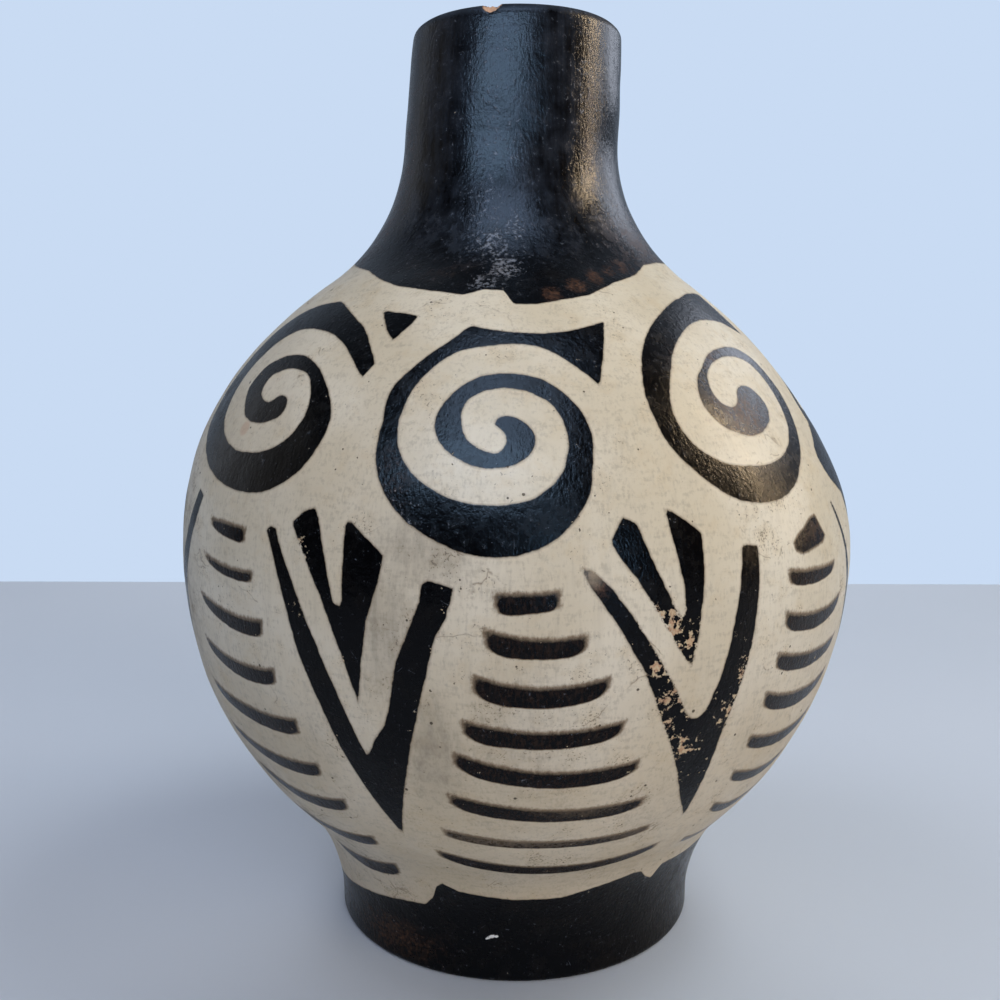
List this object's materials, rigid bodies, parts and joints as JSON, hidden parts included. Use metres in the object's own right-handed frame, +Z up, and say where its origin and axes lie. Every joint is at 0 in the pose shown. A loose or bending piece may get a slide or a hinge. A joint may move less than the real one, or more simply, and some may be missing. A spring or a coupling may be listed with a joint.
{
  "type": "pottery vase",
  "caption": "Hand-built pottery vase with a round belly, a standing foot ring and a narrow flared neck, painted with spirals, forked leaves and curved stripes.",
  "frame": {"origin": "middle of the plane that the foot ring stands on", "axes": "+Z up along the vase's axis, from foot to mouth; -Y is the side with the front spiral, +X is to that side's right"},
  "size_m": [0.154, 0.154, 0.205],
  "materials": {
    "cream_slip": "burnished slip with black painted pattern, fine specks and smoke stains",
    "black_slip": "burnished black, satin, worn to brown clay at edges",
    "bare_clay": "matt, unslipped"
  },
  "bodies": {
    "root": {"foot_ring": "black_slip", "bowl": "cream_slip", "belly_course": "cream_slip", "shoulder_course": "cream_slip", "neck": "black_slip", "lip": "black_slip", "belly_seam_coil": "bare_clay", "shoulder_seam_coil": "bare_clay", "neck_seam_coil": "bare_clay"}
  },
  "joints": []
}
